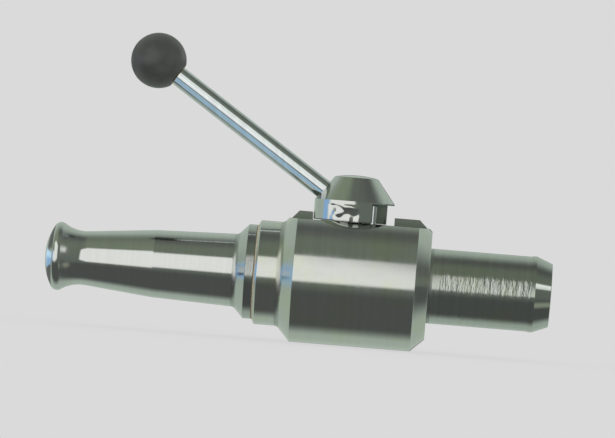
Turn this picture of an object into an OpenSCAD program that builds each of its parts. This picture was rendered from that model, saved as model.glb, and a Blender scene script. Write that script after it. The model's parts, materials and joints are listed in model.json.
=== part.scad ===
// Hand-held jet nozzle with a quarter-turn ball valve and a smooth hose stem.
// +X runs along the flow axis towards the hose, +Z along the spindle, and the
// origin is on the flow axis in the shoulder that the hose end butts against.

/* [Valve body] */
// Diameter of the round body
body_d = 60; // [58:0.5:64]
// Length of the body from the hose shoulder to the root of its neck
body_len = 66.6; // [66:0.2:70]
// Length of the bevel at each end of the body
body_bevel = 5.85; // [4:0.05:7]
// Diameter of the rear face inside its bevel
rear_face_d = 49; // [44:0.5:52]
// Diameter of the neck that takes the nozzle
neck_d = 46.8; // [45:0.2:50]
// Length of the neck
neck_len = 11; // [9:0.2:13]
// Radius of the cove between neck and front bevel
neck_cove = 3; // [1.5:0.25:4]
// Distance from the hose shoulder to the spindle
spindle_setback = 36; // [35:0.5:37]

/* [Jet nozzle] */
// Diameter of the collar that clamps the nozzle on the neck
collar_d = 42.4; // [40:0.2:44]
// Length of the collar
collar_len = 4.2; // [3:0.2:6]
// Length of the cone in front of the collar
collar_cone_len = 4.4; // [3.5:0.1:6]
// Radius of the cove between barrel and collar cone
collar_cove = 2; // [1:0.25:3]
// Barrel diameter at the foot of the collar cone
barrel_root_d = 32.8; // [31:0.2:35]
// Barrel diameter at the crease where the taper steepens
crease_d = 30.3; // [29:0.1:31]
// Length from the collar cone to the crease
barrel_len = 37; // [30:0.5:45]
// Diameter at the throat behind the flared mouth
throat_d = 24.3; // [23:0.1:26]
// Length from the crease to the throat
taper_len = 30.5; // [26:0.5:36]
// Length from the throat to the front of the mouth
mouth_len = 18.9; // [18.4:0.1:19.2]
// Radius of the hollow flare behind the rim
flare_r = 16.5; // [16:0.25:17.5]
// Radius of the domed mouth
dome_r = 27; // [25:0.5:29]
// Radius that rounds the rim
rim_r = 3; // [2.4:0.1:3.2]
// Diameter of the jet orifice
orifice_d = 10; // [8:0.5:12]
// Length of the straight stretch behind the orifice
orifice_len = 14; // [10:1:20]

/* [Hose stem] */
// Outside diameter of the stem
stem_d = 33.7; // [33:0.1:34]
// Length of the plain stem from shoulder to barb
stem_len = 45.9; // [40:0.1:55]
// Diameter of the barb
barb_d = 34.2; // [34:0.1:34.4]
// Length of the barb's land
barb_land = 1.8; // [1:0.1:3]
// Length of the barb's lead-in cone
lead_in_len = 7.2; // [5:0.1:9]
// Diameter at the end of the lead-in cone
lead_in_d = 28.6; // [27:0.1:30]
// Bore of the stem
stem_bore_d = 25; // [22:0.5:26]

/* [Ball and seats] */
// Diameter of the ball
ball_d = 30; // [29.5:0.1:30]
// Diameter of the port through the ball
port_d = 18; // [16:0.2:18]
// Gap between the ball and its seats
seat_gap = 0.1; // [0.08:0.01:0.15]
// Width of the drive slot in the ball
slot_w = 6.2; // [6.15:0.05:6.3]

/* [Spindle] */
// Diameter of the spindle in the packing
spindle_d = 10; // [9.8:0.05:10]
// Side of the square that carries the hub
square_w = 7; // [6.5:0.1:7]
// Thickness of the drive tang
tang_w = 6; // [5.8:0.05:6]

/* [Lever hub] */
// Diameter of the hub
hub_d = 36; // [34:0.2:36.2]
// Height of the milled flat under the hub above the flow axis
flat_z = 25.6; // [25.4:0.1:25.8]
// Distance behind the flow axis where the flat ends beside the hub
lug_y = 7; // [5:0.5:9]
// Height of the hub's cone above the flow axis at its base
hub_cone_z = 35.1; // [35.1:0.1:36]
// Height of the top of the cone above the flow axis
hub_top_z = 45.8; // [44.5:0.1:47]
// Diameter of the top of the cone
hub_top_d = 19.6; // [18:0.2:21]
// Height of the crown on the hub's top
hub_crown = 1.1; // [0.5:0.1:1.2]
// Angle that the lever turns through
quarter_turn = 90; // [90:1:90]
// Diameter of the stop pin
stop_pin_d = 3; // [2.5:0.1:3]
// Direction of the stop pin round the spindle, from +X
stop_pin_angle = -57; // [-60:1:-50]

/* [Lever] */
// Diameter of the lever rod
lever_d = 9; // [8.4:0.1:9.2]
// Rise of the lever above the flow axis
lever_rise = 33.4; // [33:0.1:35]
// Height above the flow axis where the lever's line meets the spindle
lever_z = 30; // [29.8:0.1:30.4]
// Distance from there to the centre of the knob
lever_len = 111.5; // [100:0.5:125]
// Diameter of the ball knob
knob_d = 25; // [22:0.5:28]
// Diameter of the flat where the rod enters the knob
knob_flat_d = 12; // [11.5:0.5:14]

/* [Hidden] */
$fn = 96;

// Clearance on a screwed or seated fit, and on a turning one
fit = 0.05;
play = 0.08;
// Edge break on turned corners
edge = 0.4;
// How far a cutter passes the face that it opens
past = 1;

// Places along the flow axis
spindle_x = -spindle_setback;
neck_root_x = -body_len;
neck_front_x = neck_root_x - neck_len;
nozzle_gasket_t = 0.6;
collar_x = neck_front_x - nozzle_gasket_t;
collar_front_x = collar_x - collar_len;
barrel_root_x = collar_front_x - collar_cone_len;
crease_x = barrel_root_x - barrel_len;
throat_x = crease_x - taper_len;
mouth_x = throat_x - mouth_len;
barb_x = stem_len;
lead_in_x = barb_x + barb_land;
stem_end_x = lead_in_x + lead_in_len;

// Waterway, ball chamber and screwed sockets
ball_r = ball_d / 2;
port_r = port_d / 2;
port_flat = sqrt(ball_r * ball_r - port_r * port_r) - edge;
seat_r = 13.5;
seat_front = 8.5;
seat_back = 14;
seat_bore_r = port_r + 0.2;
chamber_r = ball_r + 0.5;
chamber_half = 8;
thread_r = 18.2;
nozzle_end_x = spindle_x - seat_front + 0.1;
stem_gasket_t = 1;
stem_end_gap = stem_gasket_t + fit;
stem_spigot_x = spindle_x + chamber_half + stem_end_gap;
stem_throat_r = port_r + 0.5;

// Heights of the spindle's stack above the flow axis
spindle_r = spindle_d / 2;
tang_z = 11.5;
tang_l = 11.6;
slot_z = 11.2;
collar_z = 15.4;
spindle_collar_r = 6.8;
spindle_collar_t = 1.3;
pocket_r = 7.1;
pocket_z = 17.4;
thrust_washer_t = 0.6;
box_z = 18.8;
box_r = 9;
ring_t = 1.38;
ring_vee = 0.5;
ring_pitch = 1.42;
ring_count = 2;
follower_z = box_z + fit + ring_count * ring_pitch;
follower_top_z = 23;
gland_hex_z = flat_z + 0.3;
gland_hex_t = 3.4;
gland_hex_af = 19;
gland_crown = 1.2;
square_z = 29.45;
square_top_z = 42.2;

// Hub, stop and lever
hub_r = hub_d / 2;
hub_z = flat_z + 0.3;
hub_slot_half = hub_r + 0.5;
hub_recess_r = 11.6;
hub_recess_z = 29.6;
hub_square_z = square_top_z + 0.3;
notch_r = hub_r - stop_pin_d - 0.1;
notch_z = hub_cone_z - 0.6;
stop_pin_ring_r = hub_r - stop_pin_d / 2;
stop_pin_half_angle = asin(stop_pin_d / 2 / stop_pin_ring_r);
stop_slack = 0.6;
notch_start = stop_pin_angle - stop_pin_half_angle - stop_slack;
notch_sweep = quarter_turn + 2 * stop_pin_half_angle + 2 * stop_slack;
stop_pin_z = flat_z - 5;
stop_pin_top_z = notch_z - 0.5;
washer_t = 0.7;
washer_z = flat_z - 0.5;
set_screw_r = 2.5;
set_screw_z = 32.4;
set_screw_end = 15;
set_screw_socket_af = 2.5;
set_screw_socket_l = 3;
lever_r = lever_d / 2;
lever_end = 9.7;
knob_r = knob_d / 2;
knob_flat = sqrt(knob_r * knob_r - knob_flat_d * knob_flat_d / 4);
knob_stud_r = 3;
knob_stud_l = 11.5;
bush_r = 5;
bush_l = 12;

// Mouth outline: the taper line, the flare tangent to it, and the rim that
// touches flare and dome. Points are [radius, place along the flow axis].
taper_angle = atan((crease_d - throat_d) / 2 / taper_len);
flare_c = [throat_d / 2, throat_x] + flare_r * [cos(taper_angle), -sin(taper_angle)];
dome_c = [0, mouth_x + dome_r];
rim_c = meeting(dome_c, dome_r - rim_r, flare_c, flare_r + rim_r);
rim_from_dome = (rim_c - dome_c) / norm(rim_c - dome_c);
rim_from_flare = (flare_c - rim_c) / norm(flare_c - rim_c);

// Front one of the two points where circles round p and q meet
function meeting(p, rp, q, rq) =
    let (d = norm(q - p), along = (q - p) / d, across = [along[1], -along[0]])
    let (m = (d * d + rp * rp - rq * rq) / (2 * d))
    p + m * along + sqrt(rp * rp - m * m) * across;

// Both ends and the centre of a cove of radius r in the inside corner between
// the lines from the corner to p and to q
function cove_points(p, corner, q, r) =
    let (u = (p - corner) / norm(p - corner), v = (q - corner) / norm(q - corner))
    let (half = acos(u * v) / 2, middle = (u + v) / norm(u + v))
    [corner + r / tan(half) * u, corner + r / sin(half) * middle, corner + r / tan(half) * v];

// Solid turned about the flow axis from an outline of [radius, x] points
module turned() rotate([0, 90, 0]) rotate_extrude() children();

// Solid turned about the spindle from an outline of [radius, z] points
module turned_on_spindle() translate([spindle_x, 0, 0]) rotate_extrude() children();

// Turns a child standing on +Z so that it lies along the lever
module along_lever() translate([spindle_x, 0, lever_z]) rotate([0, lever_rise - 90, 0]) children();

// Round bar along +Z with its two end edges broken
module bar(r, from, to, start_break, end_break) {
    rotate_extrude() polygon([
        [0, from], [r - start_break, from], [r, from + start_break],
        [r, to - end_break], [r - end_break, to], [0, to]
    ]);
}

// Outline of a plain ring on either axis
module ring_outline(inner_r, outer_r, from, to) {
    translate([inner_r, from]) square([outer_r - inner_r, to - from]);
}

module valve_body_outline() {
    bevel_top = [body_d / 2 - edge / 2, neck_root_x + body_bevel];
    cove = cove_points([neck_d / 2, neck_front_x], [neck_d / 2, neck_root_x], bevel_top, neck_cove);
    difference() {
        polygon([
            [0, neck_front_x],
            [neck_d / 2 - 2 * edge, neck_front_x],
            [neck_d / 2, neck_front_x + 2 * edge],
            cove[0], cove[1], cove[2],
            bevel_top,
            [body_d / 2, neck_root_x + body_bevel + edge / 2],
            [body_d / 2, -body_bevel - edge / 2],
            [body_d / 2 - edge / 2, -body_bevel],
            [rear_face_d / 2, -edge / 2],
            [rear_face_d / 2 - edge / 2, 0],
            [0, 0]
        ]);
        translate(cove[1]) circle(neck_cove);
    }
}

module valve_body_bore() {
    polygon([
        [0, neck_front_x - past],
        [thread_r + fit, neck_front_x - past],
        [thread_r + fit, spindle_x - chamber_half],
        [chamber_r, spindle_x - chamber_half],
        [chamber_r, spindle_x + chamber_half],
        [thread_r + fit, spindle_x + chamber_half],
        [thread_r + fit, past],
        [0, past]
    ]);
}

module stop_pin_place() {
    translate([spindle_x, 0, 0]) rotate(stop_pin_angle) translate([stop_pin_ring_r, 0, 0]) children();
}

module valve_body() {
    color([0.62, 0.64, 0.61]) difference() {
        turned() difference() {
            valve_body_outline();
            valve_body_bore();
        }
        translate([-2 * body_len, -body_d, flat_z]) cube([2 * body_len + past, body_d + lug_y, body_d]);
        translate([spindle_x - hub_slot_half, -body_d, flat_z]) cube([2 * hub_slot_half, 2 * body_d, body_d]);
        turned_on_spindle() ring_outline(hub_recess_r + 0.1, notch_r - 0.1, washer_z, flat_z + past);
        translate([spindle_x, 0, 0]) {
            cylinder(r = pocket_r, h = pocket_z);
            cylinder(r = spindle_r + fit, h = body_d);
            translate([0, 0, box_z]) cylinder(r = box_r + fit, h = body_d);
        }
        stop_pin_place() translate([0, 0, stop_pin_z]) cylinder(d = stop_pin_d, h = body_d);
    }
}

module hose_stem() {
    cone_x = 6;
    seat_x = spindle_x + seat_back + fit;
    color([0.6, 0.62, 0.58]) turned() difference() {
        polygon([
            [0, stem_spigot_x],
            [thread_r - edge, stem_spigot_x],
            [thread_r, stem_spigot_x + edge],
            [thread_r, 0],
            [stem_d / 2, 0],
            [stem_d / 2, barb_x],
            [barb_d / 2, barb_x],
            [barb_d / 2, lead_in_x],
            [lead_in_d / 2, stem_end_x - edge / 2],
            [lead_in_d / 2 - edge / 2, stem_end_x],
            [0, stem_end_x]
        ]);
        polygon([
            [0, stem_spigot_x - past],
            [seat_r + fit, stem_spigot_x - past],
            [seat_r + fit, seat_x],
            [stem_throat_r, seat_x],
            [stem_throat_r, cone_x / 4],
            [stem_bore_d / 2, cone_x],
            [stem_bore_d / 2, stem_end_x - edge],
            [stem_bore_d / 2 + edge + past, stem_end_x + past],
            [0, stem_end_x + past]
        ]);
    }
}

module stem_gasket() {
    color([0.85, 0.85, 0.82]) turned()
        ring_outline(chamber_r + 0.1, thread_r - 0.1, stem_spigot_x - stem_end_gap, stem_spigot_x - fit);
}

// Full outline of the nozzle, from the flow axis outwards
module jet_nozzle_outline() {
    reach = 3 * rim_r;
    difference() {
        intersection() {
            translate(dome_c) circle(dome_r);
            polygon([
                [0, mouth_x - past],
                [rim_c[0], mouth_x - past],
                rim_c + reach * rim_from_dome,
                rim_c,
                rim_c + reach * rim_from_flare,
                [throat_d / 2 + reach, throat_x],
                [throat_d / 2, throat_x],
                [0, throat_x]
            ]);
        }
        translate(flare_c) circle(flare_r);
    }
    translate(rim_c) circle(rim_r);
    crease = [crease_d / 2, crease_x];
    cone_top = [collar_d / 2 - edge / 2, collar_front_x];
    cove = cove_points(crease, [barrel_root_d / 2, barrel_root_x], cone_top, collar_cove);
    difference() {
        polygon([
            [0, throat_x - past],
            [throat_d / 4, throat_x - past],
            [throat_d / 2, throat_x],
            crease,
            cove[0], cove[1], cove[2],
            cone_top,
            [collar_d / 2, collar_front_x + edge / 2],
            [collar_d / 2, collar_x - edge],
            [collar_d / 2 - edge, collar_x],
            [thread_r, collar_x],
            [thread_r, nozzle_end_x - edge],
            [thread_r - edge, nozzle_end_x],
            [0, nozzle_end_x]
        ]);
        translate(cove[1]) circle(collar_cove);
    }
}

module jet_nozzle() {
    seat_x = spindle_x - seat_back - fit;
    color([0.66, 0.68, 0.65]) turned() difference() {
        jet_nozzle_outline();
        polygon([
            [0, mouth_x - past],
            [orifice_d / 2 + edge + past, mouth_x - past],
            [orifice_d / 2 + edge, mouth_x],
            [orifice_d / 2, mouth_x + 2 * edge],
            [orifice_d / 2, mouth_x + orifice_len],
            [port_r, seat_x],
            [seat_r + fit, seat_x],
            [seat_r + fit, nozzle_end_x + past],
            [0, nozzle_end_x + past]
        ]);
    }
}

module nozzle_gasket() {
    color([0.62, 0.62, 0.52]) turned()
        ring_outline(thread_r + fit, collar_d / 2 + 0.3, collar_x, neck_front_x);
}

// Seat ring hollowed by the ball, with its back towards the given side
module seat(side) {
    color([0.93, 0.93, 0.9]) difference() {
        translate([spindle_x + side * (seat_front + seat_back) / 2, 0, 0]) rotate([0, 90, 0])
            difference() {
                cylinder(r = seat_r, h = seat_back - seat_front, center = true);
                cylinder(r = seat_bore_r, h = seat_back, center = true);
            }
        translate([spindle_x, 0, 0]) sphere(ball_r + seat_gap);
    }
}

module front_seat() seat(-1);

module rear_seat() seat(1);

module valve_ball() {
    color([0.75, 0.76, 0.76]) translate([spindle_x, 0, 0]) difference() {
        sphere(ball_r);
        rotate([0, 90, 0]) cylinder(r = port_r, h = 2 * ball_d, center = true);
        for (side = [0, 180]) rotate([0, 90, side]) translate([0, 0, port_flat])
            cylinder(r1 = port_r, r2 = port_r + 2 * edge, h = 2 * edge);
        translate([-slot_w / 2, -ball_d, slot_z]) cube([slot_w, 2 * ball_d, ball_d]);
    }
}

module spindle() {
    color([0.7, 0.7, 0.7]) translate([spindle_x, 0, 0]) {
        translate([-tang_w / 2, -tang_l / 2, tang_z]) cube([tang_w, tang_l, collar_z - tang_z + edge]);
        translate([0, 0, collar_z]) cylinder(r = spindle_collar_r, h = spindle_collar_t);
        translate([0, 0, collar_z + edge]) cylinder(r = spindle_r, h = square_z - collar_z - edge);
        intersection() {
            translate([-square_w / 2, -square_w / 2, square_z - edge])
                cube([square_w, square_w, square_top_z - square_z + edge]);
            bar(spindle_r, square_z - edge, square_top_z, 0, 1);
        }
    }
}

module thrust_washer() {
    top_z = pocket_z - fit / 2;
    color([0.93, 0.93, 0.9]) turned_on_spindle()
        ring_outline(spindle_r + play, pocket_r - fit, top_z - thrust_washer_t, top_z);
}

// One vee ring of the packing, standing on the given height
module packing_ring(z) {
    inner_r = spindle_r + play;
    middle_r = (inner_r + box_r) / 2;
    turned_on_spindle() polygon([
        [inner_r, z], [middle_r, z + ring_vee], [box_r, z],
        [box_r, z + ring_t], [middle_r, z + ring_vee + ring_t], [inner_r, z + ring_t]
    ]);
}

module packing_rings() {
    color([0.9, 0.9, 0.87]) for (i = [0:ring_count - 1]) packing_ring(box_z + fit + i * ring_pitch);
}

module gland_follower() {
    inner_r = spindle_r + play;
    color([0.78, 0.62, 0.33]) turned_on_spindle() polygon([
        [inner_r, follower_z], [(inner_r + box_r) / 2, follower_z + ring_vee], [box_r, follower_z],
        [box_r, follower_top_z], [inner_r, follower_top_z]
    ]);
}

module gland_nut() {
    color([0.65, 0.65, 0.65]) translate([spindle_x, 0, 0]) difference() {
        union() {
            intersection() {
                translate([0, 0, gland_hex_z]) cylinder(d = gland_hex_af / cos(30), h = gland_hex_t, $fn = 6);
                bar(gland_hex_af / cos(30) / 2, gland_hex_z, gland_hex_z + gland_hex_t, 0, gland_crown);
            }
            bar(box_r, follower_top_z + fit, gland_hex_z + edge, edge, 0);
        }
        cylinder(r = spindle_r + play, h = body_d);
    }
}

module slide_washer() {
    color([0.93, 0.93, 0.9]) turned_on_spindle()
        ring_outline(hub_recess_r + 0.2, notch_r - 0.2, washer_z, washer_z + washer_t);
}

module stop_pin() {
    color([0.8, 0.8, 0.8]) stop_pin_place() bar(stop_pin_d / 2, stop_pin_z, stop_pin_top_z, edge, edge);
}

module lever_hub_outline() {
    crown_r = (hub_top_d * hub_top_d / 4 + hub_crown * hub_crown) / (2 * hub_crown);
    polygon([
        [0, hub_z],
        [hub_r - edge, hub_z],
        [hub_r, hub_z + edge],
        [hub_r, hub_cone_z],
        [hub_top_d / 2, hub_top_z],
        [0, hub_top_z]
    ]);
    intersection() {
        translate([0, hub_top_z + hub_crown - crown_r]) circle(crown_r);
        translate([0, hub_top_z]) square([hub_top_d / 2, 2 * hub_crown]);
    }
}

// Quarter of the hub's rim that leaves the stop pin its travel
module stop_notch() {
    translate([spindle_x, 0, hub_z - past]) rotate(notch_start)
        rotate_extrude(angle = notch_sweep)
            ring_outline(notch_r, 2 * hub_r, 0, notch_z - hub_z + past);
}

module lever_hub() {
    square_hole = square_w + 2 * fit;
    color([0.66, 0.68, 0.65]) difference() {
        turned_on_spindle() lever_hub_outline();
        stop_notch();
        translate([spindle_x, 0, 0]) {
            cylinder(r = hub_recess_r, h = hub_recess_z);
            translate([-square_hole / 2, -square_hole / 2, hub_z])
                cube([square_hole, square_hole, hub_square_z - hub_z]);
            translate([0, square_w / 2, set_screw_z]) rotate([-90, 0, 0])
                cylinder(r = set_screw_r + fit, h = hub_d);
        }
        along_lever() translate([0, 0, lever_end - fit]) cylinder(r = lever_r + fit, h = hub_d);
    }
}

module hub_set_screw() {
    start_y = square_w / 2;
    color([0.3, 0.3, 0.3]) translate([spindle_x, 0, set_screw_z]) rotate([-90, 0, 0]) difference() {
        translate([0, 0, start_y]) cylinder(r = set_screw_r, h = set_screw_end - start_y);
        translate([0, 0, set_screw_end - set_screw_socket_l])
            cylinder(d = set_screw_socket_af / cos(30), h = hub_d, $fn = 6);
    }
}

module lever_rod() {
    shoulder = lever_len - knob_flat;
    color([0.78, 0.8, 0.8]) along_lever() {
        bar(lever_r, lever_end, shoulder, edge, edge);
        bar(knob_stud_r, shoulder - edge, shoulder + knob_stud_l, 0, edge);
    }
}

module ball_knob() {
    color([0.08, 0.08, 0.08]) along_lever() translate([0, 0, lever_len]) difference() {
        sphere(knob_r);
        translate([0, 0, -knob_d - knob_flat]) cylinder(r = knob_r, h = knob_d);
        translate([0, 0, -knob_r]) cylinder(r = bush_r + fit, h = knob_r - knob_flat + bush_l + fit);
    }
}

module knob_bush() {
    color([0.78, 0.62, 0.33]) along_lever() translate([0, 0, lever_len - knob_flat + fit]) difference() {
        cylinder(r = bush_r, h = bush_l - fit);
        translate([0, 0, -past]) cylinder(r = knob_stud_r + fit, h = bush_l + 2 * past);
    }
}

valve_body();
hose_stem();
stem_gasket();
jet_nozzle();
nozzle_gasket();
front_seat();
rear_seat();
valve_ball();
spindle();
thrust_washer();
packing_rings();
gland_follower();
gland_nut();
slide_washer();
stop_pin();
lever_hub();
hub_set_screw();
lever_rod();
ball_knob();
knob_bush();
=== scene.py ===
"""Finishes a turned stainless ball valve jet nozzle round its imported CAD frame."""

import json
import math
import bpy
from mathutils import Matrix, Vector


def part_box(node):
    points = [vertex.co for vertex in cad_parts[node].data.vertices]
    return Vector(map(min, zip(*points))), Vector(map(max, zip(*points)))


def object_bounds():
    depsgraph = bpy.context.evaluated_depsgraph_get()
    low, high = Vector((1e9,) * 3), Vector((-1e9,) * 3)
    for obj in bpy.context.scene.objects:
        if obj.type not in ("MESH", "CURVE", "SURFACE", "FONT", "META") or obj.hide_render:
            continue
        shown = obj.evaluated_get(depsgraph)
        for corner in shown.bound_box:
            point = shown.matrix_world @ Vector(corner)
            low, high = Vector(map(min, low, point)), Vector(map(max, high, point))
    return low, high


bl_info = {
    "name": "Jet Nozzle Finish",
    "version": (1, 0, 0),
    "blender": (4, 5, 0),
    "location": "View3D > Sidebar > Jet Nozzle",
    "description": "Gives a ball valve jet nozzle its turned steel, plastic and seal finishes",
    "category": "Object",
}

import bmesh
import bpy
from bpy.props import FloatProperty, FloatVectorProperty, PointerProperty
from bpy.types import Operator, Panel, PropertyGroup
from mathutils import Matrix, Vector

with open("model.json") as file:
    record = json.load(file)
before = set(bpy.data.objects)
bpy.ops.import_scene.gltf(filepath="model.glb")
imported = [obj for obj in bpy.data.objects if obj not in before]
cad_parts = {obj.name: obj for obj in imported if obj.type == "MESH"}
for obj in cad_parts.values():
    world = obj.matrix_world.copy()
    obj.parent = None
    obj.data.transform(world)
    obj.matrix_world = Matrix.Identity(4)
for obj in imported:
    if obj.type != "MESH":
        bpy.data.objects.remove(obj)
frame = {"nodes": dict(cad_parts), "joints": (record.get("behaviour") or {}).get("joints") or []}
CAD_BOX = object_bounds()
NODES = frame["nodes"]
SPINDLE = Vector(frame["joints"][0]["pos_m"])

# Turns the spindle's axis onto X
UPRIGHT = (0.0, math.radians(90), 0.0)

# Places on the pieces that have a finish of their own, in metres; at the coves, the collar and the
# stem's root that finish includes painted shade
BARB_LENGTH = 0.009
COLLAR_LENGTH = 0.0042
COLLAR_CONE_LENGTH = 0.0044
NECK_LENGTH = 0.011
COVE = (-0.0013, 0.0009)
FLARE = (0.0055, 0.0135)
STEM_ROOT = 0.0016
RUN_IN = 0.0032
PAST_THE_END = 1.0
SKIRT_HEIGHT = 0.0088
NOTCH_RADIUS = 0.01495
WASHER_PROUD = 0.0002
LUG_WALL = 0.007

# How softly one finish gives way to the next
TURNED_EDGE = 0.00015
COVE_EDGE = 0.0004
FLARE_EDGE = 0.002
MILL_EDGE = 0.00003

# The knocks in the front of the hub's skirt: their place, and how deep and how close they are
KNOCKED = (-0.0105, 0.003)
KNOCKED_FRONT = -0.008
KNOCKED_EDGE = 0.002
KNOCKED_TOP = 0.0013
KNOCKED_TOP_EDGE = 0.0008
KNOCK_DEPTH = 0.0019
KNOCK_SCALE = 230.0

# How often a pattern changes in a metre, along the axis of turning and across it
BAND_SCALE = (420.0, 9.0, 9.0)
SCUFF_SCALE = (60.0, 260.0, 260.0)
TOOL_SCALE = (3000.0, 60.0, 60.0)
FIBRE_SCALE = (4200.0, 700.0, 700.0)
SMUDGE_SCALE = 70.0
CLOUD_SCALE = 160.0
SCUFFED_SCALE = 120.0

# The part of a noise that is spread over the whole of a finish
MIDDLE = (0.3, 0.7)
PATCHES = (0.42, 0.66)
FLECKS = (0.4, 0.6)
SCUFFS = (0.5, 0.8)

# Depths of the fine marks
TOOL_DEPTH = 0.000006
FIBRE_DEPTH = 0.00003

# Steel that has gone straw yellow, and the tone of a milled face against polished steel, darkened
# as painted shade in the recesses where milled faces lie
STRAW = (0.98, 1.01, 0.76)
MILLED_PAINTED_SHADE = (0.31, 0.345, 0.3)
MILLED_ROUGHNESS = 0.34
# Black, which the painted shade of a zone darkens its tone towards
BLACK = (0.0, 0.0, 0.0)
BLACK_OXIDE = (0.06, 0.06, 0.065)
CHROME = (0.66, 0.67, 0.68)

# What the steel mirrors, as linear radiance
ROOM_FLOOR = (0.116, 0.123, 0.12)
TABLE_EDGE = (0.19, 0.215, 0.19)
CEILING_NEAR = (0.205, 0.235, 0.19)
CEILING_FAR = (0.138, 0.148, 0.139)
CEILING_LEFT = (0.30, 0.35, 0.255)
WALL = (0.53, 0.61, 0.54)
SKY_BEHIND = (0.38, 0.65, 1.06)
HORIZON = (0.17, 0.18, 0.17)
WINDOW = (1.23, 1.225, 1.215)
WINDOW_EDGE = (0.8, 0.9, 0.7)
GLOW = (0.40, 0.44, 0.34)

# Where those places begin and how soft their edges are: in degrees round the flow axis, or for a
# side along it, from -1 towards the mouth to 1 towards the hose
ROOM_BANDS = ((-20.0, 10.0, TABLE_EDGE), (20.0, 20.0, CEILING_NEAR), (76.0, 14.0, CEILING_FAR))
WALL_EDGES = ((113.0, 21.0), (-106.0, -16.0))
LEFT_CEILING_AROUND = (45.0, 112.0, 8.0)
LEFT_CEILING_SIDE = (-0.2, -0.15)
HORIZON_AROUND = (168.0, 4.0)
HORIZON_SIDE = (-0.1, 0.1)

# Dark stretches far left, by the slopes of a surface that mirrors them to the front, in degrees
FAR_LEFT = (-73.0, -54.0, 4.0)
FAR_LEFT_DARK = ((12.0, 75.0, 5.0), (-75.0, -6.0, 4.0))

# Panes: left and right by compass, low and high, softness of the edges, and what they show
PANES = (
    (38, 58, -34, -21, 5, GLOW),
    (-98, -76, -9, 9, 5, SKY_BEHIND),
    (-76, -50, -12, 12, 5, WINDOW),
    (120, 146, 4, 19, 3, WINDOW),
    (50, 64, 13, 28, 3, WINDOW),
)

# The big window in front: slope, place and softness of its edges. The left edge is upright, and
# the glass has another tint from a place near the right edge
WINDOW_TOP = (38.0, 35.0, -2.5)
WINDOW_BOTTOM = (-22.0, -8.5, 2.5)
WINDOW_RIGHT = (0.0016, 0.05, -0.02)
WINDOW_LEFT = (-0.8, 0.05)
WINDOW_TINTED = (0.022, 0.01)

# Lamp panels that a single piece mirrors: how far off, in which direction, and their colours
PANEL_DISTANCE = 1.5
ROD_WINDOW_TURN = 25.0
ROD_SKY_TURN = -54.0
MOUTH_SKY_TOWARD = Vector((-0.748, 0.662, -0.044))
BARB_WINDOW_TOWARD = Vector((0.62, -0.67, 0.41))
PANEL = (0.94, 0.94, 0.93)
SKY_PANEL = (0.34, 0.53, 0.68)
MOUTH_SKY = (0.24, 0.47, 0.85)

# Directions
ALONG_FLOW = Vector((1.0, 0.0, 0.0))
TO_BACK = Vector((0.0, 1.0, 0.0))
TO_FRONT = Vector((0.0, -1.0, 0.0))
UP = Vector((0.0, 0.0, 1.0))

# The floor, and how much of its brightness a shadow can take away
FLOOR_CENTRE = (-0.06, 0.0, 0.0)
FLOOR_RADIUS = 3.0
FLOOR_SIDES = 128
FLOOR_GAP = 0.0002
FLOOR_FADE = (0.25, 1.1)
FLOOR_SHADE = 0.12

# The camera looks at this place, from a little towards the hose
VIEW_CENTRE = Vector((-0.0566, 0.0, 0.0256))
LENS_X = -0.006
SENSOR_WIDTH = 36.0
NEAREST_SEEN = 0.05


def linear(hex_colour):
    """Turns a screen colour such as "#8a9485" into the linear colour that sockets take."""
    channels = [int(hex_colour[i : i + 2], 16) / 255 for i in (1, 3, 5)]
    return tuple(c / 12.92 if c <= 0.04045 else ((c + 0.055) / 1.055) ** 2.4 for c in channels)


def shade(colour, factor):
    """Makes a colour darker or lighter, but no lighter than white."""
    return tuple(min(1.0, c * factor) for c in colour)


def tint(colour, factors):
    """Gives a colour another hue, channel by channel."""
    return tuple(c * f for c, f in zip(colour, factors))


def colour_prop(name, description, default):
    """A colour that a user can change."""
    return FloatVectorProperty(
        name=name,
        description=description,
        default=default,
        size=3,
        min=0.0,
        max=1.0,
        subtype="COLOR",
    )


class NozzleSteel(PropertyGroup):
    """Finishes of the steel pieces."""

    polished: colour_prop("Polished", "Colour of the polished steel", (0.56, 0.58, 0.555))
    stem: colour_prop("Stem", "Colour of the stem as it came off the lathe", (0.478, 0.505, 0.478))
    rod: colour_prop("Rod", "Colour of the bright drawn lever rod", (0.62, 0.65, 0.66))
    machined: colour_prop("Machined", "Colour of the inner machined pieces", (0.5, 0.5, 0.49))
    polish: FloatProperty(
        name="Polish",
        description="Roughness of the polished steel",
        default=0.11,
        min=0.02,
        max=0.6,
    )
    stem_roughness: FloatProperty(
        name="Stem roughness",
        description="Roughness of the turned stem",
        default=0.13,
        min=0.05,
        max=0.7,
    )
    feed: FloatProperty(
        name="Feed",
        description="Distance between the marks that the turning tool left",
        default=0.00022,
        min=0.00005,
        max=0.002,
        subtype="DISTANCE",
        unit="LENGTH",
    )
    mark_depth: FloatProperty(
        name="Mark depth",
        description="Depth of the turning marks",
        default=0.0000015,
        min=0.0,
        max=0.0001,
        subtype="DISTANCE",
        unit="LENGTH",
    )


class NozzlePlastics(PropertyGroup):
    """Finishes of knob, seals and brass."""

    knob: colour_prop("Knob", "Colour of the moulded knob", linear("#454745"))
    seal: colour_prop("Seals", "Colour of seats, packing and washers", (0.83, 0.83, 0.79))
    # The gasket's colour is lighter than the fibre looks: painted light that offsets the shade
    # between the chamfers it sits in
    fibre: colour_prop("Fibre", "Colour of the nozzle's gasket", linear("#cbc1a6"))
    brass: colour_prop("Brass", "Colour of the brass pieces", (0.72, 0.52, 0.24))


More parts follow.
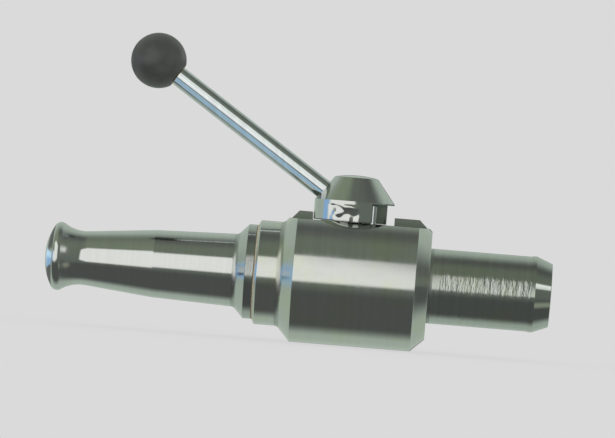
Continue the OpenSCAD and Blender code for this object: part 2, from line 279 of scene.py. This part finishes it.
class NozzleStage(PropertyGroup):
    """Floor, light and camera."""

    backdrop: colour_prop("Backdrop", "Colour of floor and background", linear("#dadada"))
    fill: FloatProperty(
        name="Fill",
        description="Soft light from all round",
        default=1.0,
        min=0.0,
        max=4.0,
    )
    camera_distance: FloatProperty(
        name="Camera distance",
        description="From the lens to the flow axis",
        default=2.1,
        min=0.5,
        max=5.0,
        unit="LENGTH",
    )
    view_width: FloatProperty(
        name="View width",
        description="Width of the picture at the flow axis",
        default=0.27675,
        min=0.1,
        max=1.0,
        unit="LENGTH",
    )
    tilt: FloatProperty(
        name="Tilt",
        description="How far the nozzle leans in the picture",
        default=math.radians(4.63),
        subtype="ANGLE",
        unit="ROTATION",
    )


class Nodes:
    """A node tree with short ways to add and join nodes."""

    def __init__(self, tree):
        self.tree = tree

    def set(self, node, socket, value):
        """Links a socket into an input, or sets the input to a number or colour."""
        if isinstance(value, bpy.types.NodeSocket):
            self.tree.links.new(value, node.inputs[socket])
        elif hasattr(value, "__len__") and node.inputs[socket].type == "RGBA":
            node.inputs[socket].default_value = (*value[:3], 1.0)
        else:
            node.inputs[socket].default_value = value

    def node(self, kind, inputs=None, **settings):
        """Adds a node."""
        node = self.tree.nodes.new(kind)
        for key, value in settings.items():
            setattr(node, key, value)
        for socket, value in (inputs or {}).items():
            self.set(node, socket, value)
        return node

    def math(self, operation, a, b=0.0, c=0.0):
        """Works out one number."""
        return self.node("ShaderNodeMath", {0: a, 1: b, 2: c}, operation=operation).outputs[0]

    def both(self, a, b):
        """Where two masks overlap, or a mask by a number."""
        return self.math("MULTIPLY", a, b)

    def angle(self, rise, run):
        """The angle of a slope in degrees."""
        return self.math("DEGREES", self.math("ARCTAN2", rise, run))

    def parts(self, vector):
        """The X, Y and Z of a vector."""
        return self.node("ShaderNodeSeparateXYZ", {0: vector}).outputs

    def length(self, vector):
        """How long a vector is."""
        return self.node("ShaderNodeVectorMath", {0: vector}, operation="LENGTH").outputs["Value"]

    def spread(self, value, low, high, start=0.0, end=1.0, smooth=False):
        """Maps start to end onto low to high."""
        return self.node(
            "ShaderNodeMapRange",
            {"Value": value, "From Min": start, "From Max": end, "To Min": low, "To Max": high},
            interpolation_type="SMOOTHSTEP" if smooth else "LINEAR",
        ).outputs[0]

    def step(self, value, edge, soft):
        """Rises from 0 to 1 over soft on either side of edge, or falls where soft is negative."""
        return self.spread(value, 0.0, 1.0, edge - soft, edge + soft, smooth=True)

    def between(self, value, low, high, soft):
        """1 from low to high and 0 outside, with soft edges."""
        return self.both(self.step(value, low, soft), self.step(value, high, -soft))

    def mix(self, factor, a, b):
        """Goes from colour a to colour b."""
        return self.node(
            "ShaderNodeMix", {"Factor": factor, 6: a, 7: b}, data_type="RGBA", blend_type="MIX"
        ).outputs[2]

    def noise(self, vector, scale=1.0, detail=2.0, roughness=0.5):
        """A cloudy pattern."""
        return self.node(
            "ShaderNodeTexNoise",
            {"Vector": vector, "Scale": scale, "Detail": detail, "Roughness": roughness},
        ).outputs["Fac"]


class Shader(Nodes):
    """A material built on a Principled surface."""

    def __init__(self, name, **constants):
        self.material = bpy.data.materials.new(name)
        self.material.use_nodes = True
        super().__init__(self.material.node_tree)
        self.surface = self.tree.nodes["Principled BSDF"]
        self.finish(**constants)

    def position(self, turn=(0.0, 0.0, 0.0), centre=(0.0, 0.0, 0.0), scale=(1.0, 1.0, 1.0)):
        """Object coordinates, measured from centre, turned and then scaled."""
        coordinate = self.node("ShaderNodeTexCoord").outputs["Object"]
        moved = self.node(
            "ShaderNodeVectorMath", {0: coordinate, 1: tuple(centre)}, operation="SUBTRACT"
        ).outputs[0]
        return self.node(
            "ShaderNodeMapping",
            {"Vector": moved, "Rotation": turn, "Scale": scale},
            vector_type="POINT",
        ).outputs[0]

    def bump(self, height, distance, strength=1.0, under=None):
        """A fine relief, on top of the one under it."""
        inputs = {"Height": height, "Distance": distance, "Strength": strength}
        if under is not None:
            inputs["Normal"] = under
        return self.node("ShaderNodeBump", inputs).outputs[0]

    def finish(self, **sockets):
        """Sets sockets of the surface, with _ for the spaces in their names."""
        for socket, value in sockets.items():
            self.set(self.surface, socket.replace("_", " "), value)
        return self.material


def zone(start, end, soft, rougher=1.0, deeper=1.0, painted_shade=0.0):
    """A stretch along a turned piece with a finish of its own.

    soft is the softness of its ends. rougher and deeper multiply the roughness and the depth of
    the marks, and the last value is how far the tone is painted towards black: painted shade.
    """
    return start, end, soft, rougher, deeper, painted_shade


def turned_steel(
    name, colour, roughness, feed, depth, turn=(0, 0, 0), centre=(0, 0, 0), tangent=None,
    grain=0.0, streak=0.02, warm=0.0, uneven=0.15, broken=12.0, dents=None, zones=(), milled_and_shaded=None,
):
    """Steel with the marks of the turning tool running round its axis.

    turn brings the axis of turning onto X, so that the marks follow the place along X.
    broken is how quickly the marks change round the axis.
    dents gives the depth of knocks, how close they lie, and a mask for the faces that have them.
    The milled mask marks faces that a cutter left rough; they get more roughness, and a tone
    darkened by painted shade.
    """
    shader = Shader(name, Metallic=1.0, Anisotropic=grain)
    mark_scale = (1 / feed, broken, broken)
    marks = shader.noise(shader.position(turn, centre, mark_scale), detail=3.0, roughness=0.65)
    bands = shader.noise(shader.position(turn, centre, BAND_SCALE), detail=2.0, roughness=0.6)
    smudges = shader.noise(shader.position(), SMUDGE_SCALE, detail=4.0, roughness=0.6)
    scuffs = shader.noise(shader.position(turn, centre, SCUFF_SCALE), detail=3.0, roughness=0.7)
    dark, light = shade(colour, 1 - 2.2 * streak), shade(colour, 1 + streak)
    tone = shader.mix(shader.spread(bands, 0.0, 1.0, *MIDDLE), dark, light)
    patches = shader.spread(smudges, 0.0, 1.0, *PATCHES, smooth=True)
    flecks = shader.both(patches, shader.spread(marks, 0.3, 1.0, *FLECKS))
    tone = shader.mix(shader.both(flecks, warm), tone, tint(colour, STRAW))
    shine = shader.math(
        "ADD",
        shader.spread(bands, roughness * (1 - uneven), roughness * (1 + uneven), *MIDDLE),
        shader.spread(scuffs, 0.0, roughness * 0.4, *SCUFFS),
    )
    strength = 1.0
    place = shader.parts(shader.position(turn, centre))[0]
    for start, end, soft, rougher, deeper, painted_shade in zones:
        inside = shader.between(place, start, end, soft)
        # Painted shade: the tone inside the zone is darkened towards black
        tone = shader.mix(shader.both(inside, painted_shade), tone, BLACK)
        shine = shader.both(shine, shader.spread(inside, 1.0, rougher))
        strength = shader.both(shader.spread(inside, 1.0, deeper), strength)
    if milled_and_shaded:
        bare_and_shaded = milled_and_shaded(shader)
        # Painted shade: the tone of milled faces, which lie in recesses, is darkened; their extra
        # roughness is real
        tone = shader.mix(bare_and_shaded, tone, tint(colour, MILLED_PAINTED_SHADE))
        shine = shader.math("MAXIMUM", shine, shader.both(bare_and_shaded, MILLED_ROUGHNESS))
    normal = shader.bump(marks, depth, strength)
    if dents:
        deep, close, knocked = dents
        knocks = shader.math("SUBTRACT", shader.noise(shader.position(), close, detail=0.0), 0.5)
        normal = shader.bump(shader.both(knocks, knocked(shader)), deep, under=normal)
    if tangent:
        radial = shader.node("ShaderNodeTangent", direction_type="RADIAL", axis=tangent)
        shader.finish(Tangent=radial.outputs[0])
    return shader.finish(Base_Color=tone, Roughness=shine, Normal=normal)


def machined_metal(name, colour, roughness, turn=(0, 0, 0), centre=(0, 0, 0)):
    """Plain machined metal for the pieces inside the valve."""
    shader = Shader(name, Metallic=1.0)
    marks = shader.noise(shader.position(turn, centre, TOOL_SCALE), detail=2.0)
    cloud = shader.noise(shader.position(), CLOUD_SCALE, detail=3.0)
    tone = shader.mix(cloud, shade(colour, 0.86), shade(colour, 1.06))
    shine = shader.spread(marks, roughness * 0.8, roughness * 1.25)
    normal = shader.bump(marks, TOOL_DEPTH)
    return shader.finish(Base_Color=tone, Roughness=shine, Normal=normal)


def moulded_plastic(name, colour, roughness, grain=2600.0, depth=0.000006):
    """Satin moulded plastic with a fine grain and faint scuffs."""
    shader = Shader(name, Metallic=0.0, IOR=1.49)
    fine = shader.noise(shader.position(), grain, detail=2.0)
    cloud = shader.noise(shader.position(), SCUFFED_SCALE, detail=4.0, roughness=0.6)
    spread = shader.spread(cloud, 0.0, 1.0, *MIDDLE)
    tone = shader.mix(spread, shade(colour, 0.8), shade(colour, 1.15))
    shine = shader.spread(cloud, roughness * 0.85, roughness * 1.2, *MIDDLE)
    return shader.finish(Base_Color=tone, Roughness=shine, Normal=shader.bump(fine, depth))


def fibre_sheet(name, colour):
    """Pressed fibre of the gasket, with fibres that show on its edge."""
    shader = Shader(name, Metallic=0.0, Roughness=0.62)
    fibres = shader.noise(shader.position(scale=FIBRE_SCALE), detail=3.0, roughness=0.7)
    spread = shader.spread(fibres, 0.0, 1.0, *MIDDLE)
    tone = shader.mix(spread, shade(colour, 0.75), shade(colour, 1.2))
    return shader.finish(Base_Color=tone, Normal=shader.bump(fibres, FIBRE_DEPTH))


def dress(material, *nodes):
    """Puts a material on CAD nodes."""
    for name in nodes:
        mesh = NODES[name].data
        mesh.materials.clear()
        mesh.materials.append(material)


class NOZZLE_OT_body(Operator):
    """Finishes the round valve body."""

    bl_idname = "jet_nozzle.body"
    bl_label = "Valve body"

    def execute(self, context):
        steel = context.scene.nozzle_steel
        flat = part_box("slide_washer")[1].z - WASHER_PROUD
        neck_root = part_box("valve_body")[0].x + NECK_LENGTH

        def milled_and_shaded(shader):
            """The flat on top and the walls that the cutter left on the lugs, in the pocket under
            the hub; their darker tone is painted shade.
            """
            across, up = shader.parts(shader.position())[1:]
            above = shader.step(up, flat - 2 * MILL_EDGE, MILL_EDGE)
            return shader.both(above, shader.step(across, LUG_WALL + 2 * MILL_EDGE, -MILL_EDGE))

        dress(
            turned_steel(
                "body steel", steel.polished, roughness=steel.polish,
                feed=steel.feed, depth=steel.mark_depth, tangent="X", warm=0.7, milled_and_shaded=milled_and_shaded,
                zones=(
                    # The cove at the root of the neck: rougher, with painted shade darkening its
                    # tone
                    zone(
                        neck_root + COVE[0], neck_root + COVE[1], COVE_EDGE,
                        rougher=3.0, painted_shade=0.15,
                    ),
                ),
            ),
            "valve_body",
        )
        return {"FINISHED"}


class NOZZLE_OT_jet(Operator):
    """Finishes the jet nozzle and its gasket."""

    bl_idname = "jet_nozzle.jet"
    bl_label = "Jet nozzle"

    def execute(self, context):
        steel = context.scene.nozzle_steel
        collar_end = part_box("nozzle_gasket")[0].x
        collar_start = collar_end - COLLAR_LENGTH
        cone_root = collar_start - COLLAR_CONE_LENGTH
        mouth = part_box("jet_nozzle")[0].x
        dress(
            turned_steel(
                "nozzle steel", steel.polished, roughness=steel.polish * 0.9,
                feed=steel.feed, depth=steel.mark_depth * 0.7, tangent="X",
                zones=(
                    zone(mouth + FLARE[0], mouth + FLARE[1], FLARE_EDGE, rougher=2.0),
                    # The cove at the root of the cone: rougher, with painted shade darkening its
                    # tone
                    zone(
                        cone_root + COVE[0], cone_root + COVE[1], COVE_EDGE,
                        rougher=3.0, painted_shade=0.15,
                    ),
                    # The collar: rougher, with deeper marks, and painted shade darkening its tone
                    # to dim its reflection
                    zone(
                        collar_start, collar_end, TURNED_EDGE,
                        rougher=1.4, deeper=30.0, painted_shade=0.2,
                    ),
                ),
            ),
            "jet_nozzle",
        )
        dress(fibre_sheet("gasket fibre", context.scene.nozzle_plastics.fibre), "nozzle_gasket")
        return {"FINISHED"}


class NOZZLE_OT_stem(Operator):
    """Finishes the hose stem, which keeps its turning marks."""

    bl_idname = "jet_nozzle.stem"
    bl_label = "Hose stem"

    def execute(self, context):
        steel = context.scene.nozzle_steel
        run_in_end = STEM_ROOT + RUN_IN
        barb_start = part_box("hose_stem")[1].x - BARB_LENGTH
        dress(
            turned_steel(
                "stem steel", steel.stem, roughness=steel.stem_roughness,
                feed=steel.feed * 8.0, depth=steel.mark_depth * 90.0, tangent="X",
                grain=0.3, streak=0.03, warm=0.5, uneven=0.3, broken=110.0,
                zones=(
                    # The root of the stem by the body's shoulder: rougher, with painted shade
                    # darkening its tone
                    zone(0.0, STEM_ROOT, TURNED_EDGE, rougher=2.4, painted_shade=0.12),
                    zone(STEM_ROOT, run_in_end, TURNED_EDGE, deeper=0.1),
                    zone(barb_start, PAST_THE_END, TURNED_EDGE, rougher=0.7, deeper=0.04),
                ),
            ),
            "hose_stem",
        )
        return {"FINISHED"}


class NOZZLE_OT_hub(Operator):
    """Finishes the lever hub, its stop pin and its set screw."""

    bl_idname = "jet_nozzle.hub"
    bl_label = "Lever hub"

    def execute(self, context):
        steel = context.scene.nozzle_steel
        skirt_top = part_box("lever_hub")[0].z + SKIRT_HEIGHT

        def milled_and_shaded(shader):
            """The wall of the stop notch and the underside of the skirt, recesses whose darker tone
            is painted shade.
            """
            radius = shader.length(shader.position(centre=SPINDLE, scale=(1.0, 1.0, 0.0)))
            up = shader.parts(shader.position())[2]
            below = shader.step(up, skirt_top, -MILL_EDGE)
            return shader.both(below, shader.step(radius, NOTCH_RADIUS, -MILL_EDGE))

        def knocked(shader):
            """The front of the skirt, mostly left of its middle."""
            along, back, up = shader.parts(shader.position(centre=SPINDLE))
            front = shader.both(
                shader.between(along, *KNOCKED, KNOCKED_EDGE),
                shader.step(back, KNOCKED_FRONT, -KNOCKED_EDGE),
            )
            below = shader.step(up, skirt_top - KNOCKED_TOP, -KNOCKED_TOP_EDGE)
            return shader.both(front, below)

        dress(
            turned_steel(
                "hub steel", steel.polished, roughness=steel.polish * 1.1,
                feed=steel.feed, depth=steel.mark_depth,
                turn=UPRIGHT, centre=SPINDLE, tangent="Z", milled_and_shaded=milled_and_shaded,
                dents=(KNOCK_DEPTH, KNOCK_SCALE, knocked),
            ),
            "lever_hub",
        )
        dress(
            machined_metal("pin steel", steel.rod, roughness=0.22, turn=UPRIGHT, centre=SPINDLE),
            "stop_pin",
        )
        dress(
            machined_metal("screw steel", BLACK_OXIDE, roughness=0.4, turn=UPRIGHT, centre=SPINDLE),
            "hub_set_screw",
        )
        return {"FINISHED"}


class NOZZLE_OT_lever(Operator):
    """Finishes the lever rod."""

    bl_idname = "jet_nozzle.lever"
    bl_label = "Lever rod"

    def execute(self, context):
        steel = context.scene.nozzle_steel
        low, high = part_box("lever_rod")
        rise = math.atan2(high.z - low.z, high.x - low.x)
        dress(
            turned_steel(
                "rod steel", steel.rod, roughness=steel.polish * 0.7,
                feed=steel.feed, depth=steel.mark_depth * 0.5,
                turn=(0.0, -rise, 0.0), centre=SPINDLE, streak=0.04,
            ),
            "lever_rod",
        )
        return {"FINISHED"}


class NOZZLE_OT_knob(Operator):
    """Finishes the ball knob and its bush."""

    bl_idname = "jet_nozzle.knob"
    bl_label = "Ball knob"

    def execute(self, context):
        plastics = context.scene.nozzle_plastics
        dress(moulded_plastic("knob plastic", plastics.knob, roughness=0.42), "ball_knob")
        dress(machined_metal("bush brass", plastics.brass, roughness=0.28), "knob_bush")
        return {"FINISHED"}


class NOZZLE_OT_seals(Operator):
    """Finishes seats, packing and washers."""

    bl_idname = "jet_nozzle.seals"
    bl_label = "Seals"

    def execute(self, context):
        plastics = context.scene.nozzle_plastics
        dress(
            moulded_plastic(
                "seal plastic", plastics.seal, roughness=0.5, grain=900.0, depth=0.00001
            ),
            "front_seat", "rear_seat", "stem_gasket",
            "thrust_washer", "packing_rings", "slide_washer",
        )
        return {"FINISHED"}


class NOZZLE_OT_drive(Operator):
    """Finishes ball, spindle and gland."""

    bl_idname = "jet_nozzle.drive"
    bl_label = "Ball and spindle"

    def execute(self, context):
        steel = context.scene.nozzle_steel
        brass = context.scene.nozzle_plastics.brass
        dress(machined_metal("ball chrome", CHROME, roughness=0.07), "valve_ball")
        dress(
            machined_metal(
                "spindle steel", steel.machined, roughness=0.25, turn=UPRIGHT, centre=SPINDLE
            ),
            "spindle", "gland_nut",
        )
        dress(
            machined_metal("follower brass", brass, roughness=0.28, turn=UPRIGHT, centre=SPINDLE),
            "gland_follower",
        )
        return {"FINISHED"}


class NOZZLE_OT_stage(Operator):
    """Sets up floor, light and camera."""

    bl_idname = "jet_nozzle.stage"
    bl_label = "Stage"

    def execute(self, context):
        stage = context.scene.nozzle_stage
        self.lay_floor(stage)
        self.light_room(context.scene, stage)
        self.hang_panels()
        self.place_camera(context.scene, stage)
        return {"FINISHED"}

    def lay_floor(self, stage):
        """A pale round floor that fades into the background."""
        mesh = bpy.data.meshes.new("floor")
        form = bmesh.new()
        bmesh.ops.create_circle(form, cap_ends=True, segments=FLOOR_SIDES, radius=FLOOR_RADIUS)
        place = (FLOOR_CENTRE[0], FLOOR_CENTRE[1], CAD_BOX[0].z - FLOOR_GAP)
        bmesh.ops.translate(form, verts=form.verts, vec=place)
        form.to_mesh(mesh)
        form.free()
        floor = bpy.data.objects.new("floor", mesh)
        bpy.context.scene.collection.objects.link(floor)
        floor.visible_glossy = False
        shader = Shader(
            "floor", Roughness=0.9, Specular_IOR_Level=0.0,
            Base_Color=shade(stage.backdrop, FLOOR_SHADE),
            Emission_Color=shade(stage.backdrop, 1 - FLOOR_SHADE), Emission_Strength=1.0,
        )
        distance = shader.length(shader.position(centre=FLOOR_CENTRE))
        clear = shader.node("ShaderNodeBsdfTransparent")
        fade = shader.node("ShaderNodeMixShader")
        shader.set(fade, 0, shader.spread(distance, 0.0, 1.0, *FLOOR_FADE, smooth=True))
        shader.set(fade, 1, shader.surface.outputs[0])
        shader.set(fade, 2, clear.outputs[0])
        shader.set(shader.tree.nodes["Material Output"], "Surface", fade.outputs[0])
        mesh.materials.append(shader.material)

    def light_room(self, scene, stage):
        """A room for the steel to mirror, with windows in front, left and right, a pale wall
        behind and dark between them.

        around is the angle round the flow axis in degrees, 0 in front, 90 overhead, 180 behind.
        bearing is the compass angle, 0 in front and 90 towards the hose.
        lean and side are the slopes of a surface that mirrors a place in the room to the front.
        """
        world = bpy.data.worlds.new("room")
        scene.world = world
        world.use_nodes = True
        room = Nodes(world.node_tree)
        room.tree.nodes.clear()
        x, y, z = room.parts(room.node("ShaderNodeTexCoord").outputs["Generated"])
        front = room.math("MULTIPLY", y, -1.0)
        around = room.angle(z, front)
        bearing = room.angle(x, front)
        height = room.math("DEGREES", room.math("ARCSINE", z))
        near = room.math("SUBTRACT", 1.0, y)
        reach = room.math("SQRT", room.math("ADD", room.both(near, near), room.both(z, z)))
        lean = room.angle(z, near)
        side = room.angle(x, reach)

        seen = ROOM_FLOOR
        for edge, soft, colour in ROOM_BANDS:
            seen = room.mix(room.step(around, edge, soft), seen, colour)
        mouth_side = room.step(x, *LEFT_CEILING_SIDE)
        overhead = room.between(around, *LEFT_CEILING_AROUND)
        seen = room.mix(room.both(mouth_side, overhead), seen, CEILING_LEFT)
        for edge, soft in WALL_EDGES:
            seen = room.mix(room.step(around, edge, soft), seen, WALL)
        level = room.step(room.math("ABSOLUTE", around), *HORIZON_AROUND)
        behind = room.both(level, room.step(x, *HORIZON_SIDE))
        seen = room.mix(behind, seen, HORIZON)
        far_left = room.between(side, *FAR_LEFT)
        for low, high, soft in FAR_LEFT_DARK:
            seen = room.mix(room.both(far_left, room.between(lean, low, high, soft)), seen, HORIZON)
        for start, end, low, high, soft, colour in PANES:
            across = room.between(bearing, start, end, soft)
            upward = room.between(height, low, high, soft)
            seen = room.mix(room.both(across, upward), seen, colour)

        def sloped_edge(value, other, slope, place, soft):
            """An edge that moves along with another value."""
            return room.step(room.math("MULTIPLY_ADD", other, slope, value), place, soft)

        top = sloped_edge(around, x, *WINDOW_TOP)
        bottom = sloped_edge(around, x, *WINDOW_BOTTOM)
        right = sloped_edge(x, around, *WINDOW_RIGHT)
        left = room.step(x, *WINDOW_LEFT)
        opening = room.both(room.both(top, bottom), room.both(left, right))
        glass = room.mix(room.step(x, *WINDOW_TINTED), WINDOW, WINDOW_EDGE)
        seen = room.mix(opening, seen, glass)

        path = room.node("ShaderNodeLightPath").outputs
        lit = room.mix(path["Is Glossy Ray"], (stage.fill,) * 3, seen)
        lit = room.mix(path["Is Camera Ray"], lit, stage.backdrop)
        ground = room.node("ShaderNodeBackground", {"Color": lit})
        room.node("ShaderNodeOutputWorld", {"Surface": ground.outputs[0]})
        scene.view_settings.view_transform = "Standard"

    def hang_panels(self):
        """Hangs the lamp panels that rod, mouth and barb mirror."""
        low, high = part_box("lever_rod")
        rod = (low + high) / 2
        across_rod = Vector((high.z - low.z, 0.0, high.x - low.x)).normalized()
        window = self.turned_from_front(across_rod, ROD_WINDOW_TURN)
        sky = self.turned_from_front(across_rod, ROD_SKY_TURN)
        self.hang_panel(
            "rod window", "lever_rod", rod, window, across_rod, size=(1.06, 0.4), colour=PANEL
        )
        self.hang_panel(
            "rod sky", "lever_rod", rod, sky, across_rod, size=(1.5, 0.4), colour=SKY_PANEL
        )
        mouth = Vector((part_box("jet_nozzle")[0].x, 0.0, 0.0))
        self.hang_panel(
            "mouth sky", "jet_nozzle", mouth, MOUTH_SKY_TOWARD, TO_BACK,
            size=(1.0, 0.26), colour=MOUTH_SKY,
        )
        barb = Vector((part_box("hose_stem")[1].x, 0.0, 0.0))
        self.hang_panel(
            "barb window", "hose_stem", barb, BARB_WINDOW_TOWARD, ALONG_FLOW,
            size=(0.8, 0.34), colour=PANEL,
        )

    def turned_from_front(self, side, degrees):
        """The direction to the front, turned by an angle to a side."""
        turn = math.radians(degrees)
        return math.cos(turn) * TO_FRONT + math.sin(turn) * side

    def hang_panel(self, name, node, middle, toward, along, size, colour):
        """A lamp panel that only one node mirrors, off in a direction from its middle."""
        lamp = bpy.data.lights.new(name, "AREA")
        lamp.shape = "RECTANGLE"
        lamp.size, lamp.size_y = size
        lamp.color = colour
        lamp.energy = math.pi * size[0] * size[1]
        panel = bpy.data.objects.new(name, lamp)
        bpy.context.scene.collection.objects.link(panel)
        panel.visible_camera = False
        lit = bpy.data.collections.new(name)
        lit.objects.link(NODES[node])
        panel.light_linking.receiver_collection = lit
        toward = toward.normalized()
        side = toward.cross(along).normalized()
        turn = Matrix((side.cross(toward), side, toward)).transposed().to_4x4()
        panel.matrix_world = Matrix.Translation(middle + toward * PANEL_DISTANCE) @ turn

    def place_camera(self, scene, stage):
        """A camera at the photograph's viewing angle, tilted as the nozzle leans in it."""
        lens_at = Vector((LENS_X, -stage.camera_distance, VIEW_CENTRE.z))
        away = lens_at - VIEW_CENTRE
        back = away.normalized()
        lean = Matrix.Rotation(-stage.tilt, 3, "Y") @ UP
        right = lean.cross(back).normalized()
        up = back.cross(right)
        camera = bpy.data.cameras.new("camera")
        camera.sensor_width = SENSOR_WIDTH
        camera.lens = SENSOR_WIDTH * away.length / stage.view_width
        camera.clip_start = NEAREST_SEEN
        eye = bpy.data.objects.new("camera", camera)
        scene.collection.objects.link(eye)
        turn = Matrix((right, up, back)).transposed().to_4x4()
        eye.matrix_world = Matrix.Translation(lens_at) @ turn
        scene.camera = eye


OPERATORS = (
    NOZZLE_OT_body, NOZZLE_OT_jet, NOZZLE_OT_stem, NOZZLE_OT_hub, NOZZLE_OT_lever,
    NOZZLE_OT_knob, NOZZLE_OT_seals, NOZZLE_OT_drive, NOZZLE_OT_stage,
)

SETTINGS = {
    "nozzle_steel": NozzleSteel,
    "nozzle_plastics": NozzlePlastics,
    "nozzle_stage": NozzleStage,
}


class NOZZLE_PT_panel(Panel):
    """Lists the nozzle's settings and operators."""

    bl_label = "Jet Nozzle"
    bl_idname = "NOZZLE_PT_panel"
    bl_space_type = "VIEW_3D"
    bl_region_type = "UI"
    bl_category = "Jet Nozzle"

    def draw(self, context):
        for group in SETTINGS:
            settings = getattr(context.scene, group)
            box = self.layout.box()
            for name in type(settings).__annotations__:
                box.prop(settings, name)
        for operator in OPERATORS:
            self.layout.operator(operator.bl_idname)


CLASSES = (*SETTINGS.values(), *OPERATORS, NOZZLE_PT_panel)


def register():
    for cls in CLASSES:
        bpy.utils.register_class(cls)
    for name, group in SETTINGS.items():
        setattr(bpy.types.Scene, name, PointerProperty(type=group))


def unregister():
    for name in SETTINGS:
        delattr(bpy.types.Scene, name)
    for cls in reversed(CLASSES):
        bpy.utils.unregister_class(cls)


def main():
    """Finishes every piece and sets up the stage."""
    register()
    for operator in OPERATORS:
        group, name = operator.bl_idname.split(".")
        getattr(getattr(bpy.ops, group), name)()


if __name__ == "__main__":
    main()
